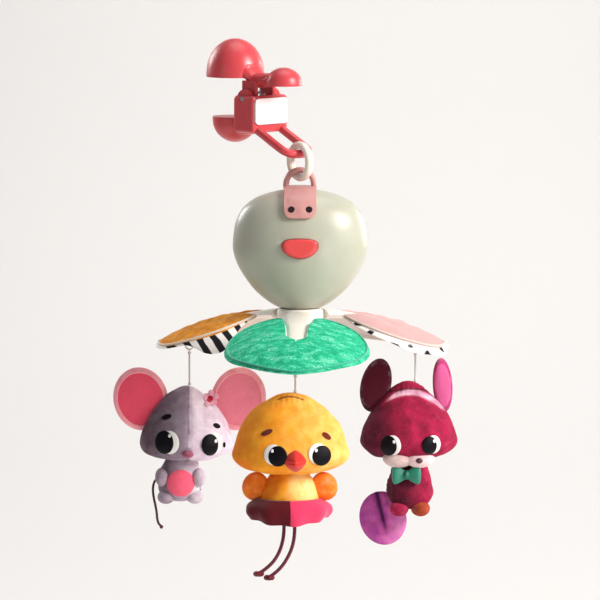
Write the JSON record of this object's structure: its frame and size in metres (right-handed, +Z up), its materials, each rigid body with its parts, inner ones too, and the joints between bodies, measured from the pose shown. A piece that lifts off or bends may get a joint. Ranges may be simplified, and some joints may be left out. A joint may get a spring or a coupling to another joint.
{
  "type": "crib mobile",
  "caption": "Clip-on crib mobile: spring clip, link ring, egg-shaped music box with a play button, and a free-turning leaf carrier with stuffed animals hung on strings.",
  "frame": {"origin": "middle of the lower jaw pad's flat top face", "axes": "+Z up and out of the lower jaw face; the animals face -Y and the jaws open towards -X +Y"},
  "size_m": [0.2263, 0.1932, 0.3377],
  "materials": {
    "coral_plastic": "satin",
    "plate_plastic": "gloss",
    "spring_steel": "satin",
    "cream_plastic": "satin",
    "pink_plastic": "satin",
    "dark_steel": "satin",
    "sage_plastic": "satin",
    "cell_jacket": "satin",
    "nickel": "satin",
    "black_plastic": "matte",
    "circuit_board": "satin",
    "speaker": "matte",
    "red_plastic": "satin",
    "white_plastic": "satin",
    "green_terry": "matte",
    "pink_felt": "matte",
    "orange_felt": "matte",
    "cord_white": "matte",
    "lilac_plush": "matte",
    "ear_pink": "matte",
    "grey_plush": "matte",
    "dark_cord": "matte",
    "yellow_plush": "matte",
    "orange_plush": "matte",
    "beak_red": "matte",
    "skirt_felt": "matte",
    "crimson_plush": "matte",
    "maroon_plush": "matte",
    "magenta_plush": "matte",
    "bow_green": "satin",
    "petal_purple": "matte"
  },
  "bodies": {
    "clip_frame": {"clip_frame": "coral_plastic", "clip_plate": "plate_plastic", "clip_pin": "spring_steel", "clip_spring": "spring_steel"},
    "clip_lever": {"clip_lever": "coral_plastic"},
    "link_ring": {"link_ring": "cream_plastic"},
    "music_box": {"hanger_tab": "pink_plastic", "hanger_screw_left": "dark_steel", "hanger_screw_right": "dark_steel", "front_shell": "sage_plastic", "rear_shell": "sage_plastic", "shell_screw_upper_left": "spring_steel", "shell_screw_upper_right": "spring_steel", "shell_screw_lower_left": "spring_steel", "shell_screw_lower_right": "spring_steel", "battery_door": "sage_plastic", "door_screw": "spring_steel", "battery_lower": "cell_jacket", "battery_middle": "cell_jacket", "battery_upper": "cell_jacket", "battery_contact_left": "nickel", "battery_contact_right": "nickel", "battery_tray": "black_plastic", "circuit_board": "circuit_board", "speaker": "speaker", "spindle": "spring_steel", "spindle_clip": "spring_steel"},
    "play_button": {"play_button": "red_plastic"},
    "carrier": {"hub": "white_plastic", "arm_front": "white_plastic", "arm_right": "white_plastic", "arm_left": "white_plastic", "leaf_front": "green_terry", "leaf_right": "pink_felt", "leaf_left": "orange_felt"},
    "chick_loop": {"chick_loop": "nickel"},
    "chick_string": {"chick_string": "cord_white"},
    "chick": {"chick_head": "yellow_plush", "chick_beak": "beak_red", "chick_body": "yellow_plush", "chick_wing_left": "orange_plush", "chick_wing_right": "orange_plush", "chick_skirt": "skirt_felt"},
    "chick_leg_left": {"chick_leg_left": "dark_cord"},
    "chick_leg_right": {"chick_leg_right": "dark_cord"},
    "bunny_loop": {"bunny_loop": "nickel"},
    "bunny_string": {"bunny_string": "cord_white"},
    "bunny": {"bunny_head": "crimson_plush", "bunny_ear_left": "maroon_plush", "bunny_ear_right": "magenta_plush", "bunny_bow": "bow_green", "bunny_body": "crimson_plush", "bunny_tail": "petal_purple"},
    "mouse_loop": {"mouse_loop": "nickel"},
    "mouse_string": {"mouse_string": "cord_white"},
    "mouse": {"mouse_head": "lilac_plush", "mouse_ear_left": "ear_pink", "mouse_ear_right": "ear_pink", "mouse_body": "grey_plush"},
    "mouse_tail": {"mouse_tail": "dark_cord"}
  },
  "joints": [
    {"name": "clip_jaw", "type": "hinge", "parent": "clip_frame", "child": "clip_lever", "pos_m": [0.01556, -0.01556, 0.013], "axis": [0.7071, 0.7071, 0], "range_deg": [-35, 20], "stiffness_Nm_per_rad": 0.08, "springref_deg": -34.95, "deforming": ["clip_spring"]},
    {"name": "ring_swing", "type": "hinge", "parent": "clip_frame", "child": "link_ring", "pos_m": [0.04243, -0.04243, -0.0215], "axis": [0.7071, 0.7071, 0], "range_deg": [-35, 35]},
    {"name": "music_box_swing", "type": "hinge", "parent": "link_ring", "child": "music_box", "pos_m": [0.04243, -0.04243, -0.0369], "axis": [0.5736, -0.8192, 0], "range_deg": [-25, 25]},
    {"name": "button_press", "type": "slide", "parent": "music_box", "child": "play_button", "axis": [0, 1, 0], "range_m": [0, 0.0012], "stiffness_N_per_m": 300},
    {"name": "hub_spin", "type": "hinge", "parent": "music_box", "child": "carrier", "pos_m": [0.04243, -0.04243, -0.1257], "axis": [0, 0, 1], "continuous": true},
    {"name": "chick_loop_swing", "type": "hinge", "parent": "carrier", "child": "chick_loop", "pos_m": [0.03943, -0.12837, -0.14808], "axis": [-0.0349, -0.9994, 0], "range_deg": [-15, 15]},
    {"name": "chick_string_swing", "type": "hinge", "parent": "chick_loop", "child": "chick_string", "pos_m": [0.03943, -0.12837, -0.15129], "axis": [0.9994, -0.0349, 0], "range_deg": [-15, 15]},
    {"name": "chick_spin", "type": "hinge", "parent": "chick_string", "child": "chick", "pos_m": [0.03943, -0.12837, -0.16739], "axis": [0, 0, 1], "continuous": true},
    {"name": "bunny_loop_swing", "type": "hinge", "parent": "carrier", "child": "bunny_loop", "pos_m": [0.11836, -0.00205, -0.14808], "axis": [0.8829, 0.4695, 0], "range_deg": [-15, 15]},
    {"name": "bunny_string_swing", "type": "hinge", "parent": "bunny_loop", "child": "bunny_string", "pos_m": [0.11836, -0.00205, -0.15129], "axis": [-0.4695, 0.8829, 0], "range_deg": [-15, 15]},
    {"name": "bunny_spin", "type": "hinge", "parent": "bunny_string", "child": "bunny", "pos_m": [0.11836, -0.00205, -0.17539], "axis": [0, 0, 1], "continuous": true},
    {"name": "mouse_loop_swing", "type": "hinge", "parent": "carrier", "child": "mouse_loop", "pos_m": [-0.03051, 0.00315, -0.14808], "axis": [-0.848, 0.5299, 0], "range_deg": [-15, 15]},
    {"name": "mouse_string_swing", "type": "hinge", "parent": "mouse_loop", "child": "mouse_string", "pos_m": [-0.03051, 0.00315, -0.15129], "axis": [-0.5299, -0.848, 0], "range_deg": [-15, 15]},
    {"name": "mouse_spin", "type": "hinge", "parent": "mouse_string", "child": "mouse", "pos_m": [-0.03051, 0.00315, -0.17838], "axis": [0, 0, 1], "continuous": true},
    {"name": "chick_leg_left_swing", "type": "hinge", "parent": "chick", "child": "chick_leg_left", "pos_m": [0.03222, -0.12837, -0.24859], "axis": [1, 0, 0], "range_deg": [-25, 25]},
    {"name": "chick_leg_right_swing", "type": "hinge", "parent": "chick", "child": "chick_leg_right", "pos_m": [0.03902, -0.12837, -0.24859], "axis": [1, 0, 0], "range_deg": [-25, 25]},
    {"name": "mouse_tail_swing", "type": "hinge", "parent": "mouse", "child": "mouse_tail", "pos_m": [-0.05141, 0.00815, -0.24088], "axis": [1, 0, 0], "range_deg": [-20, 20]}
  ]
}
